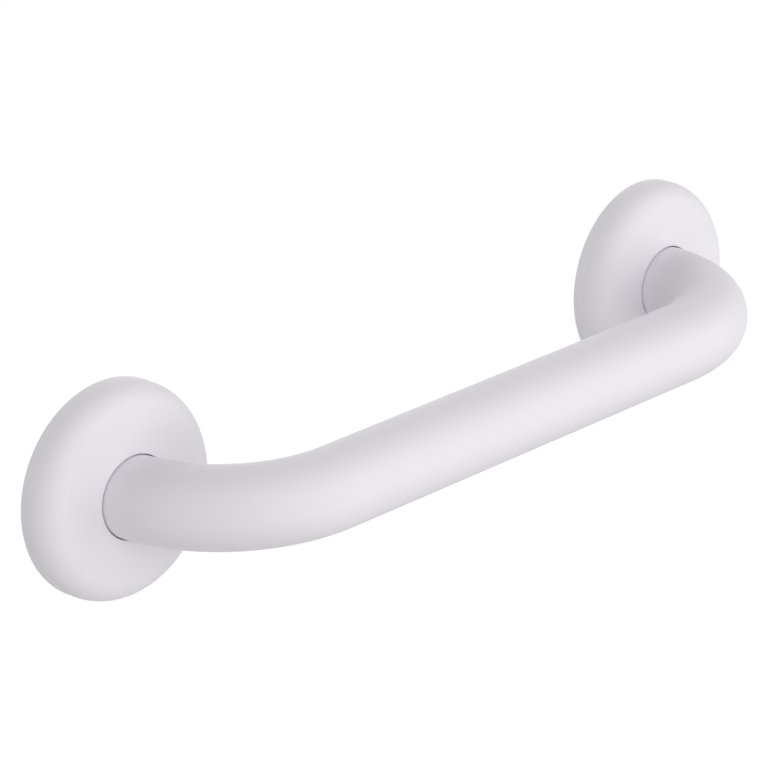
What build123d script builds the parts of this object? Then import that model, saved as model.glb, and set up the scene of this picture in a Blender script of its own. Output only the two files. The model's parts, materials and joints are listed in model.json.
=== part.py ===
from build123d import *
import os
from math import cos, radians, tan

# A wall-mounted grab bar: one bent steel tube, welded into a screw flange at each end,
# with a moulded cover over each flange. The covers stay threaded on the tube.
# Millimetres. X runs along the bar, +Y goes into the wall and Z is up.
# The origin lies on the wall plane, midway between the two flanges.

# Tube
bar_length = 300.0  # between the centres of the two flanges
tube_diameter = 32.0
tube_wall = 1.5
bend_radius = 53.0  # to the centre line of the tube
tube_end_setback = 0.5  # the tube stops short of the wall, so only the flange meets it

# Wall flange
flange_diameter = 72.0
flange_thickness = 3.0
flange_edge_chamfer = 0.5
flange_bore_clearance = 0.05  # radial, round the tube
weld_leg = 3.0
weld_crown = 0.4  # how far the bead bulges past its flat throat
screw_count = 3
screw_hole_diameter = 6.5

# Cover
cover_depth = 15.4  # from the wall to the edge of the hole
cover_wall = 2.0
cover_margin = 4.2  # from the flange's edge to the inside of the cover's rim
cover_corner_radius = 10.0
cover_draft = 1.0  # degrees, on the side wall
face_slope = 4.0  # degrees, falling from the hole to the side wall
hole_clearance = 0.4  # radial, round the tube
hole_edge_radius = 0.4
lip_length = 5.2  # guide lip round the hole, measured from the cover's face
lip_wall = 1.6
rib_thickness = 1.6
rib_clearance = 0.3  # from the rib's tip to the flange's edge
rib_start = 1.0  # the ribs begin this far from the wall

# Sizes that follow from the ones above
tube_radius = tube_diameter / 2
flange_radius = flange_diameter / 2
flange_bore_radius = tube_radius + flange_bore_clearance
screw_circle_radius = (tube_radius + weld_leg + flange_radius) / 2
cover_hole_radius = tube_radius + hole_clearance
cover_rim_radius = flange_radius + cover_margin + cover_wall
leg_length = cover_depth - lip_length / 2  # the bend starts mid-lip, so the cover can follow it
bar_projection = leg_length + bend_radius  # from the wall to the centre line of the bar

# Angles are measured round a flange, from the direction of the bar's middle.
outward_angle = 180
rib_angles = (90, outward_angle, 270)


def grab_tube():
    """One length of round tube with a right-angle bend near each end."""
    end_x = bar_length / 2
    route = FilletPolyline(
        (-end_x, -tube_end_setback),
        (-end_x, -bar_projection),
        (end_x, -bar_projection),
        (end_x, -tube_end_setback),
        radius=bend_radius,
    )
    section = Circle(tube_radius) - Circle(tube_radius - tube_wall)
    return sweep(Plane(origin=route @ 0, z_dir=route % 0) * section, path=route)


def wall_flange():
    """Steel disc bored for the tube, with the weld bead that joins them and its screw holes."""
    weld_toe = (flange_bore_radius + weld_leg, -flange_thickness)
    weld_top = (flange_bore_radius, -flange_thickness - weld_leg)
    outline = Polyline(
        weld_top,
        (flange_bore_radius, 0),
        (flange_radius, 0),
        (flange_radius, flange_edge_chamfer - flange_thickness),
        (flange_radius - flange_edge_chamfer, -flange_thickness),
        weld_toe,
    ) + SagittaArc(weld_toe, weld_top, weld_crown)
    disc = revolve(make_face(outline), Axis.Y)
    screw_hole = Cylinder(screw_hole_diameter / 2, 3 * flange_thickness)
    for spot in PolarLocations(screw_circle_radius, screw_count, start_angle=outward_angle):
        disc -= Plane.XZ.location * spot * screw_hole
    return disc


def dome_section(inset):
    """Half section of a cover's solid form, drawn in by inset from its side wall and its face."""
    draft = tan(radians(cover_draft))
    fall = tan(radians(face_slope))
    rim_radius = cover_rim_radius - inset / cos(radians(cover_draft))
    peak = cover_depth + cover_hole_radius * fall - inset / cos(radians(face_slope))
    corner_depth = (peak - rim_radius * fall) / (1 - draft * fall)
    corner = (rim_radius - corner_depth * draft, -corner_depth)
    section = make_face(Polyline((0, 0), (rim_radius, 0), corner, (0, -peak), close=True))
    return fillet(section.vertices().sort_by_distance(corner)[0], cover_corner_radius - inset)


def flange_cover():
    """Moulded shell with a guide lip round its hole and three ribs that centre it on the flange."""
    # The lip and the ribs are rooted halfway into the shell's wall.
    root_section = dome_section(cover_wall / 2)
    hole = Rectangle(2 * cover_hole_radius, 3 * cover_depth)
    lip_end = (0, lip_length - cover_depth)
    lip = Pos(*lip_end) * Rectangle(
        cover_hole_radius + lip_wall, lip_length, align=(Align.MIN, Align.MAX)
    )
    section = dome_section(0) - dome_section(cover_wall) + (lip & root_section) - hole
    hole_edge = section.vertices().sort_by_distance((cover_hole_radius, -cover_depth))[0]
    shell = revolve(fillet(hole_edge, hole_edge_radius), Axis.Y)

    rib_tip = flange_radius + rib_clearance
    rib_blank = Pos(rib_tip, -rib_start, 0) * Box(
        cover_rim_radius - rib_tip,
        cover_depth,
        rib_thickness,
        align=(Align.MIN, Align.MAX, Align.CENTER),
    )
    rib = rib_blank & revolve(root_section, Axis.Y)
    return shell + [Rot(0, angle, 0) * rib for angle in rib_angles]


# Each end is drawn with the bar's middle towards +X, then placed on the wall.
left_end = Pos(-bar_length / 2, 0, 0)
right_end = Pos(bar_length / 2, 0, 0) * Rot(0, 180, 0)
flange = wall_flange()
cover = flange_cover()
pieces = {
    "grab_tube": grab_tube(),
    "left_wall_flange": left_end * flange,
    "right_wall_flange": right_end * flange,
    "left_cover": left_end * cover,
    "right_cover": right_end * cover,
}

os.makedirs("parts", exist_ok=True)
for name, piece in pieces.items():
    export_step(piece, f"parts/{name}.step")
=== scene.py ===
import json
from math import atan2, cos, hypot, pi, radians, sin, tan

import bmesh
import bpy
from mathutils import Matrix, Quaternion, Vector


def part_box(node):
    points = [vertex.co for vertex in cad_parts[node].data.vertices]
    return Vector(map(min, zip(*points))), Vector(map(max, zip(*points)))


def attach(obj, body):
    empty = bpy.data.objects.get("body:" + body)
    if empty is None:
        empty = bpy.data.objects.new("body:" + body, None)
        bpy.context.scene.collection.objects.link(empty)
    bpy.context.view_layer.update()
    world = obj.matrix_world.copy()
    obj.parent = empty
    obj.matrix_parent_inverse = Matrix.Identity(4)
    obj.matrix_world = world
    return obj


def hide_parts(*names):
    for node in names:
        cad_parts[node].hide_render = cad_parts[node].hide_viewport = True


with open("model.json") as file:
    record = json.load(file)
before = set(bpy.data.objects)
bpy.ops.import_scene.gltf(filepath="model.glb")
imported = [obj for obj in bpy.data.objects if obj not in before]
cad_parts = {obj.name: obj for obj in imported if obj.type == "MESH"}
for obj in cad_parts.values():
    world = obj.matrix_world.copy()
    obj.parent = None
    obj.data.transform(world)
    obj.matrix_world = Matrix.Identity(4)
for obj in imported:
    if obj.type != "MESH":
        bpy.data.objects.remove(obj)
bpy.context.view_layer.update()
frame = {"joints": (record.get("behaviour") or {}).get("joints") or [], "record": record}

# Grab tube
# One length of round steel tube with a right-angle bend near each end, bent cold round a former.
# Its ends are welded into the wall flanges, and the whole bar is then powder coated in satin white.
tube_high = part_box("grab_tube")[1]
tube_radius = tube_high.z
tube_wall = 0.0015
tube_sides = 120
tube_end_y = tube_high.y
leg_x = tube_high.x - tube_radius
bend_centre = {joint["child"]: Vector(joint["pos_m"]) for joint in frame["joints"]}
left_bend = bend_centre["left_cover"]
right_bend = bend_centre["right_cover"]
bend_angle = radians(90)
bend_axis = (0, 0, -1)
bend_steps = 40
cut_end_round = 0.0003
cut_end_angle = radians(60)
smooth_angle = radians(40)
along_y = (radians(90), 0, 0)
merge_distance = 0.000001


def start_ring(name, sides, radius, x, y):
    """A new piece that starts as a ring of edges round an axis along Y, left selected in edit mode."""
    bpy.ops.object.select_all(action="DESELECT")
    bpy.ops.mesh.primitive_circle_add(
        vertices=sides, radius=radius, location=(x, y, 0), rotation=along_y
    )
    bpy.ops.object.transform_apply()
    piece = bpy.context.object
    piece.name = name
    bpy.ops.object.mode_set(mode="EDIT")
    bpy.ops.mesh.select_all(action="SELECT")
    return piece


def extrude_ring(x=0.0, y=0.0):
    """Draws the selected ring out to a new one, which is then the selected ring."""
    bpy.ops.mesh.extrude_edges_move(TRANSFORM_OT_translate={"value": (x, y, 0)})


def bend_ring(centre):
    """Draws the selected ring out through a right-angle bend about this centre."""
    bpy.ops.mesh.spin(steps=bend_steps, angle=bend_angle, center=centre, axis=bend_axis)


def close_skin():
    """Merges the skin's doubled points, turns its faces outwards and leaves edit mode."""
    bpy.ops.mesh.select_all(action="SELECT")
    bpy.ops.mesh.remove_doubles(threshold=merge_distance)
    bpy.ops.mesh.normals_make_consistent(inside=False)
    bpy.ops.object.mode_set(mode="OBJECT")


def apply_modifier(piece, kind, **settings):
    """Adds a modifier with these settings and makes its result the piece's own mesh."""
    modifier = piece.modifiers.new(kind, kind)
    for name, value in settings.items():
        setattr(modifier, name, value)
    bpy.ops.object.modifier_apply(modifier=modifier.name)


tube = start_ring("bent_tube", tube_sides, tube_radius, -leg_x, tube_end_y)
extrude_ring(y=left_bend.y - tube_end_y)
bend_ring(left_bend)
extrude_ring(x=right_bend.x - left_bend.x)
bend_ring(right_bend)
extrude_ring(y=tube_end_y - right_bend.y)
close_skin()
apply_modifier(tube, "SOLIDIFY", thickness=tube_wall, offset=-1)
apply_modifier(tube, "BEVEL", width=cut_end_round, segments=2, angle_limit=cut_end_angle)
bpy.ops.object.shade_smooth_by_angle(angle=smooth_angle)


class Shade:
    """A value in a node tree. Arithmetic on it adds Math nodes, and node() adds any other node."""

    def __init__(self, tree, socket=None):
        self.tree = tree
        self.socket = socket

    def node(self, kind, settings=None, inputs=None, output=0):
        made = self.tree.nodes.new("ShaderNode" + kind)
        for name, value in (settings or {}).items():
            setattr(made, name, value)
        for name, value in (inputs or {}).items():
            if isinstance(value, Shade):
                self.tree.links.new(value.socket, made.inputs[name])
            else:
                made.inputs[name].default_value = value
        return Shade(self.tree, made.outputs[output] if made.outputs else None)

    def maths(self, operation, first, second):
        return self.node("Math", {"operation": operation}, {0: first, 1: second})

    def __add__(self, other):
        return self.maths("ADD", self, other)

    def __sub__(self, other):
        return self.maths("SUBTRACT", self, other)

    def __rsub__(self, other):
        return self.maths("SUBTRACT", other, self)

    def __mul__(self, other):
        return self.maths("MULTIPLY", self, other)

    __radd__ = __add__
    __rmul__ = __mul__


def new_finish(name):
    """A new material and its empty node tree."""
    finish = bpy.data.materials.new(name)
    finish.use_nodes = True
    finish.node_tree.nodes.clear()
    return finish, Shade(finish.node_tree)


def noise(tree, place, size, detail=1.0):
    """Soft noise from 0 to 1 whose lumps are about this many metres across."""
    inputs = {"Vector": place, "Scale": 1 / size, "Detail": detail}
    return tree.node("TexNoise", inputs=inputs)


def mix_colours(tree, share, first, second):
    """The first colour where share is 0, the second where it is 1."""
    settings = {"data_type": "RGBA"}
    inputs = {"Factor": share, 6: first, 7: second}
    return tree.node("Mix", settings, inputs, output=2)


satin_gloss = 0.3


def white_powder_coat():
    """Baked satin powder coat: a thick even skin with a faint orange peel and a slightly uneven gloss."""
    thin_colour = (0.799, 0.777, 0.817, 1)
    thick_colour = (0.819, 0.797, 0.837, 1)
    thin_roughness = 0.47
    added_roughness = 0.06
    peel_height = 0.000012
    grain_share = 0.15
    finish, tree = new_finish("white_powder_coat")
    place = tree.node("TexCoord", output="Object")
    build_up = noise(tree, place, size=0.045, detail=2.0)
    orange_peel = noise(tree, place, size=0.0028)
    fine_grain = noise(tree, place, size=0.0007)
    height = orange_peel + grain_share * fine_grain
    relief = tree.node("Bump", inputs={"Strength": 1.0, "Distance": peel_height, "Height": height})
    shader = tree.node(
        "BsdfPrincipled",
        inputs={
            "Base Color": mix_colours(tree, build_up, thin_colour, thick_colour),
            "Roughness": thin_roughness + added_roughness * build_up,
            "Specular IOR Level": satin_gloss,
            "Normal": relief,
        },
    )
    tree.node("OutputMaterial", inputs={"Surface": shader})
    return finish


powder_coat = white_powder_coat()
tube.data.materials.append(powder_coat)
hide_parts("grab_tube")
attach(tube, "bar")

# Wall flanges
# A laser-cut steel disc at each end, bored for the tube and welded to it all round from the front.
# Three plain holes take the wall screws. The powder coat covers disc and weld alike.
flange_low, flange_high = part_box("left_wall_flange")
flange_radius = flange_high.z
flange_thickness = 0.003
flange_edge_chamfer = 0.0005
flange_sides = 240
flange_smooth_angle = radians(35)
bore_clearance = 0.00005
flange_bore = tube_radius + bore_clearance
weld_top_y = flange_low.y
weld_leg = -weld_top_y - flange_thickness
weld_crown = 0.0004
weld_steps = 6
weld_smooth_edge = 0.0001
weld_ripple_sides = 4
weld_ripple_depth = 0.00022
screw_pattern = next(m for m in frame["record"]["mounts"] if m["name"] == "left_flange_screws")
screw_circle = screw_pattern["dims"]["pcd_mm"] / 2000
screw_hole = screw_pattern["dims"]["hole_r_mm"] / 1000
screw_count = screw_pattern["dims"]["count"]
flange_x = screw_pattern["pos_m"][0]
screw_angles = [pi + 2 * pi * number / screw_count for number in range(screw_count)]
screw_places = [
    Vector((flange_x + screw_circle * cos(angle), 0, screw_circle * sin(angle)))
    for angle in screw_angles
]
drill_sides = 64
drill_length = 4 * flange_thickness
hole_edge_round = 0.0003
hole_edge_steps = 3
same_place = 0.00001


def turned_skin(name, sides, x, outline):
    """A turned skin: a ring at the outline's first radius and Y is drawn out through the other points."""
    piece = start_ring(name, sides, outline[0][0], x, outline[0][1])
    for (radius, y), (next_radius, next_y) in zip(outline, outline[1:]):
        extrude_ring(y=next_y - y)
        growth = next_radius / radius
        bpy.ops.transform.resize(value=(growth, 1, growth), center_override=(x, next_y, 0))
    return piece


def select_points(piece, wanted):
    """In edit mode, selects only the points whose place passes the test, with the edges between them."""
    bpy.ops.mesh.select_mode(type="VERT")
    bpy.ops.mesh.select_all(action="DESELECT")
    mesh = bmesh.from_edit_mesh(piece.data)
    for point in mesh.verts:
        point.select = wanted(point.co)
    mesh.select_flush_mode()
    bmesh.update_edit_mesh(piece.data)


def combine(piece, tool, operation):
    """Cuts the tool out of the piece, or fuses the two, and removes the tool."""
    bpy.context.view_layer.objects.active = piece
    apply_modifier(piece, "BOOLEAN", object=tool, operation=operation, solver="EXACT")
    bpy.data.objects.remove(tool)


def weld_point(share):
    """Radius and Y on the bead's face, from the disc at share 0 up to the tube at share 1.

    The face runs at 45 degrees and swells to the crown in a parabola, square to that slope.
    """
    swell = 4 * weld_crown * share * (1 - share) / hypot(1, 1)
    return (
        flange_bore + weld_leg * (1 - share) + swell,
        -flange_thickness - weld_leg * share - swell,
    )


weld_face = [weld_point(step / weld_steps) for step in range(weld_steps + 1)]
flange = turned_skin(
    "left_flange_plate",
    flange_sides,
    flange_x,
    [
        (flange_bore, 0),
        (flange_radius, 0),
        (flange_radius, flange_edge_chamfer - flange_thickness),
        (flange_radius - flange_edge_chamfer, -flange_thickness),
        *weld_face,
        (flange_bore, 0),
    ],
)
close_skin()


def in_ripple(place):
    """True on the bead's face, at the lines where one weld pool froze against the next."""
    on_bead = weld_top_y + weld_smooth_edge < place.y < -flange_thickness - weld_smooth_edge
    side = round(atan2(place.z, place.x - flange_x) * flange_sides / (2 * pi))
    return on_bead and side % weld_ripple_sides == 0


bpy.ops.object.mode_set(mode="EDIT")
select_points(flange, in_ripple)
bpy.ops.transform.shrink_fatten(value=-weld_ripple_depth)
bpy.ops.object.mode_set(mode="OBJECT")

for place in screw_places:
    bpy.ops.object.select_all(action="DESELECT")
    bpy.ops.mesh.primitive_cylinder_add(
        vertices=drill_sides, radius=screw_hole, depth=drill_length, location=place, rotation=along_y
    )
    combine(flange, bpy.context.object, "DIFFERENCE")


def on_hole_edge(place):
    """True on the rims of the screw holes, at both faces of the disc."""
    at_face = min(abs(place.y), abs(place.y + flange_thickness)) < same_place
    return at_face and any(
        abs(hypot(place.x - hole.x, place.z - hole.z) - screw_hole) < same_place
        for hole in screw_places
    )


flange.select_set(True)
bpy.ops.object.mode_set(mode="EDIT")
select_points(flange, on_hole_edge)
bpy.ops.mesh.bevel(offset=hole_edge_round, segments=hole_edge_steps, affect="EDGES")
bpy.ops.object.mode_set(mode="OBJECT")
bpy.ops.object.shade_smooth_by_angle(angle=flange_smooth_angle)
flange.data.materials.append(powder_coat)


def copy_to_right(piece, name):
    """A copy with its own mesh, turned half round the part's Y axis to the other end of the bar."""
    bpy.ops.object.select_all(action="DESELECT")
    piece.select_set(True)
    bpy.context.view_layer.objects.active = piece
    bpy.ops.object.duplicate()
    copy = bpy.context.object
    copy.name = name
    bpy.ops.object.mode_set(mode="EDIT")
    bpy.ops.mesh.select_all(action="SELECT")
    bpy.ops.transform.rotate(value=pi, orient_axis="Y", center_override=(0, 0, 0))
    bpy.ops.object.mode_set(mode="OBJECT")
    return copy


right_flange = copy_to_right(flange, "right_flange_plate")
for piece, node in ((flange, "left_wall_flange"), (right_flange, "right_wall_flange")):
    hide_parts(node)
    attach(piece, "bar")

# Flange covers
# A round cap moulded in white plastic, with a softly rounded shoulder and a slightly domed face.
# A guide lip inside its hole runs on the tube, and three ribs centre it on the flange's edge.
cover_rim_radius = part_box("left_cover")[1].z
cover_depth = 0.0154
cover_wall = 0.002
cover_draft = radians(1)
cover_face_slope = radians(4)
cover_sides = 200
cover_shoulder = 0.010
outer_shoulder_steps = 24
inner_shoulder_steps = 16
cover_hole_clearance = 0.0004
cover_hole = tube_radius + cover_hole_clearance
cover_hole_round = 0.0004
cover_hole_steps = 6
lip_length = 0.0052
lip_wall = 0.0016
moulded_edge_round = 0.0002
moulded_edge_steps = 3
rib_thickness = 0.0016
rib_clearance = 0.0003
rib_tip = flange_radius + rib_clearance
rib_start_y = -0.001
rib_angles = (radians(90), radians(180), radians(270))
rib_cut_tilts = (radians(25), radians(50), radians(72))
rib_edge_steps = 2


def face_y(radius, inset):
    """Y of the cover's sloping face at this radius, drawn in by inset from the outside."""
    hole_y = cover_depth - inset / cos(cover_face_slope)
    return (radius - cover_hole) * tan(cover_face_slope) - hole_y


def shoulder_corner(inset):
    """Radius and Y of the corner where side wall and face would meet, drawn in by inset."""
    rim = cover_rim_radius - inset / cos(cover_draft)
    y = face_y(rim, inset) / (1 - tan(cover_draft) * tan(cover_face_slope))
    return rim + y * tan(cover_draft), y


outer_rim = (cover_rim_radius, 0)
outer_shoulder = shoulder_corner(0)
hole_mouth = (cover_hole, -cover_depth)
lip_end_y = lip_length - cover_depth
lip_bore_end = (cover_hole, lip_end_y)
lip_outer_end = (cover_hole + lip_wall, lip_end_y)
lip_root = (cover_hole + lip_wall, face_y(cover_hole + lip_wall, cover_wall))
inner_shoulder = shoulder_corner(cover_wall)
inner_rim = (cover_rim_radius - cover_wall / cos(cover_draft), 0)
cover = turned_skin(
    "left_cover_cap",
    cover_sides,
    flange_x,
    [
        outer_rim,
        outer_shoulder,
        hole_mouth,
        lip_bore_end,
        lip_outer_end,
        lip_root,
        inner_shoulder,
        inner_rim,
        outer_rim,
    ],
)
close_skin()


def round_ring(ring, fillet, turn, steps):
    """Rounds the cover's ring of edges at this radius and Y, where the skin turns by this angle."""
    select_points(
        cover,
        lambda place: abs(hypot(place.x - flange_x, place.z) - ring[0]) < same_place
        and abs(place.y - ring[1]) < same_place,
    )
    bpy.ops.mesh.bevel(offset=fillet * tan(turn / 2), segments=steps, affect="EDGES")


bpy.ops.object.mode_set(mode="EDIT")
square_turn = radians(90)
shoulder_turn = square_turn - cover_draft - cover_face_slope
round_ring(outer_shoulder, cover_shoulder, shoulder_turn, outer_shoulder_steps)
round_ring(inner_shoulder, cover_shoulder - cover_wall, shoulder_turn, inner_shoulder_steps)
round_ring(hole_mouth, cover_hole_round, square_turn + cover_face_slope, cover_hole_steps)
for ring in (outer_rim, inner_rim, lip_bore_end, lip_outer_end):
    round_ring(ring, moulded_edge_round, square_turn, moulded_edge_steps)
bpy.ops.object.mode_set(mode="OBJECT")

# The ribs are rooted halfway into the wall, on the arc that runs round the inside of the shoulder.
arc_centre = Vector((outer_shoulder[0] - cover_shoulder, outer_shoulder[1] + cover_shoulder, 0))
arc_radius = cover_shoulder - cover_wall / 2
rib_root = arc_centre.x + arc_radius
rib_front_y = arc_centre.y - arc_radius
for angle in rib_angles:
    bpy.ops.object.select_all(action="DESELECT")
    bpy.ops.mesh.primitive_cube_add(
        size=1, location=((rib_tip + rib_root) / 2, (rib_start_y + rib_front_y) / 2, 0)
    )
    rib = bpy.context.object
    rib.scale = (rib_root - rib_tip, rib_start_y - rib_front_y, rib_thickness)
    bpy.ops.object.transform_apply()
    bpy.ops.object.mode_set(mode="EDIT")
    for tilt in rib_cut_tilts:
        outwards = Vector((cos(tilt), -sin(tilt), 0))
        on_arc = arc_centre + arc_radius * outwards
        bpy.ops.mesh.select_all(action="SELECT")
        bpy.ops.mesh.bisect(plane_co=on_arc, plane_no=outwards, use_fill=True, clear_outer=True)
    bpy.ops.mesh.select_all(action="SELECT")
    bpy.ops.transform.rotate(value=angle, orient_axis="Y", center_override=(0, 0, 0))
    bpy.ops.transform.translate(value=(flange_x, 0, 0))
    bpy.ops.object.mode_set(mode="OBJECT")
    apply_modifier(rib, "BEVEL", width=moulded_edge_round, segments=rib_edge_steps)
    combine(cover, rib, "UNION")
cover.select_set(True)

# The many-cornered faces that fusing leaves are split in one set way, the same on every run.
fewest_corners = 5
apply_modifier(cover, "TRIANGULATE", min_vertices=fewest_corners, ngon_method="BEAUTY")
bpy.ops.object.shade_smooth_by_angle(angle=smooth_angle)


def white_moulded_plastic():
    """White thermoplastic from a finely etched mould: satin, even in colour, with a faint grain."""
    lean_colour = (0.814, 0.792, 0.832, 1)
    rich_colour = (0.826, 0.804, 0.844, 1)
    lean_roughness = 0.48
    added_roughness = 0.05
    grain_height = 0.000004
    finish, tree = new_finish("white_moulded_plastic")
    place = tree.node("TexCoord", output="Object")
    flow = noise(tree, place, size=0.030)
    grain = noise(tree, place, size=0.0006, detail=2.0)
    relief = tree.node("Bump", inputs={"Strength": 1.0, "Distance": grain_height, "Height": grain})
    shader = tree.node(
        "BsdfPrincipled",
        inputs={
            "Base Color": mix_colours(tree, flow, lean_colour, rich_colour),
            "Roughness": lean_roughness + added_roughness * flow,
            "Specular IOR Level": satin_gloss,
            "Normal": relief,
        },
    )
    tree.node("OutputMaterial", inputs={"Surface": shader})
    return finish


cover.data.materials.append(white_moulded_plastic())
right_cover = copy_to_right(cover, "right_cover_cap")
for piece, node in ((cover, "left_cover"), (right_cover, "right_cover")):
    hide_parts(node)
    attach(piece, node)

# Studio floor
# A plain white floor, so far below the bar that its shadow falls soft and faint and no view runs
# into it. What looks straight at it sees white, and the bar gets only what matt paint throws back.
floor_z = -2.2
floor_size = 30.0
bpy.ops.object.select_all(action="DESELECT")
bpy.ops.mesh.primitive_plane_add(size=floor_size, location=(0, 0, floor_z))
floor = bpy.context.object
floor.name = "studio_floor"


def grey(level):
    """A plain grey, from black at 0 to white at 1."""
    return (level, level, level, 1)


def seen_directly(tree):
    """1 for rays from the camera, off a gloss or through glass, and 0 for light that falls on things."""
    straight, glossy, through = (
        tree.node("LightPath", output="Is %s Ray" % kind)
        for kind in ("Camera", "Glossy", "Transmission")
    )
    return tree.maths("MINIMUM", straight + glossy + through, 1.0)


def white_floor():
    """Matt white that shows as white, less the soft shadow that falls on it."""
    paint_level = 0.9
    shadow_level = 0.3
    glow_strength = 0.9
    finish, tree = new_finish("white_floor")
    matt = tree.node("BsdfDiffuse", inputs={"Color": grey(paint_level)})
    shadowed = tree.node("BsdfDiffuse", inputs={"Color": grey(shadow_level)})
    glow = tree.node("Emission", inputs={"Color": grey(1), "Strength": glow_strength})
    shown = tree.node("AddShader", inputs={0: shadowed, 1: glow})
    surface = tree.node("MixShader", inputs={0: seen_directly(tree), 1: matt, 2: shown})
    tree.node("OutputMaterial", inputs={"Surface": surface})
    return finish


floor.data.materials.append(white_floor())

# Studio light
# Two tall strips in front of the bar with a soft box above each, a low card on the left to open up
# the shadows, and a wide white wall of light behind. A white backdrop runs all round.
ambient_strength = 0.39
lamp_distance = 1.5
world = bpy.data.worlds.new("studio")
world.use_nodes = True
world.node_tree.nodes.clear()
bpy.context.scene.world = world
sky = Shade(world.node_tree)
direct = seen_directly(sky)
sky_strength = direct + ambient_strength * (1 - direct)
backdrop = sky.node("Background", inputs={"Color": grey(1), "Strength": sky_strength})
sky.node("OutputWorld", inputs={"Surface": backdrop})


def direction(azimuth, elevation):
    """The way out from the bar, by its angles to the right of straight ahead and upwards."""
    return Vector(
        (sin(azimuth) * cos(elevation), -cos(azimuth) * cos(elevation), sin(elevation))
    )


def soft_box(name, azimuth, elevation, width, height, brightness):
    """A rectangular lamp that faces the bar from this direction, in degrees, hidden from the camera."""
    outwards = direction(radians(azimuth), radians(elevation))
    bpy.ops.object.select_all(action="DESELECT")
    bpy.ops.object.light_add(type="AREA", location=lamp_distance * outwards)
    lamp = bpy.context.object
    lamp.name = name
    lamp.rotation_euler = outwards.to_track_quat("Z", "Y").to_euler()
    lamp.data.shape = "RECTANGLE"
    lamp.data.size = width
    lamp.data.size_y = height
    lamp.data.energy = pi * width * height * brightness
    lamp.visible_camera = False


soft_box("left_strip", azimuth=-15, elevation=0, width=1.0, height=1.7, brightness=0.91)
soft_box("right_strip", azimuth=45, elevation=0, width=1.0, height=1.7, brightness=1.41)
soft_box("left_upper_box", azimuth=-30, elevation=35, width=1.4, height=1.0, brightness=1.01)
soft_box("right_upper_box", azimuth=30, elevation=35, width=1.4, height=1.0, brightness=0.68)
soft_box("low_left_card", azimuth=-60, elevation=-25, width=1.4, height=0.8, brightness=0.83)
soft_box("back_wall", azimuth=180, elevation=20, width=4.2, height=1.6, brightness=0.74)

# Camera
# A long lens at the photograph's own viewpoint. It looks down on the bar from the left, and is
# turned a little about its own axis.
view_azimuth = -0.7784
view_elevation = 0.3608
view_roll = -0.0432
view_distance = 1.3889
view_target = Vector((-0.034478, -0.030, 0.013506))
lens = 169.74
sensor_width = 36
backwards = direction(view_azimuth, view_elevation)
bpy.ops.object.select_all(action="DESELECT")
bpy.ops.object.camera_add(location=view_target + view_distance * backwards)
camera = bpy.context.object
level_view = backwards.to_track_quat("Z", "Y")
camera.rotation_euler = (level_view @ Quaternion((0, 0, 1), view_roll)).to_euler()
camera.data.lens = lens
camera.data.sensor_width = sensor_width
bpy.context.scene.camera = camera
bpy.context.scene.view_settings.view_transform = "Standard"
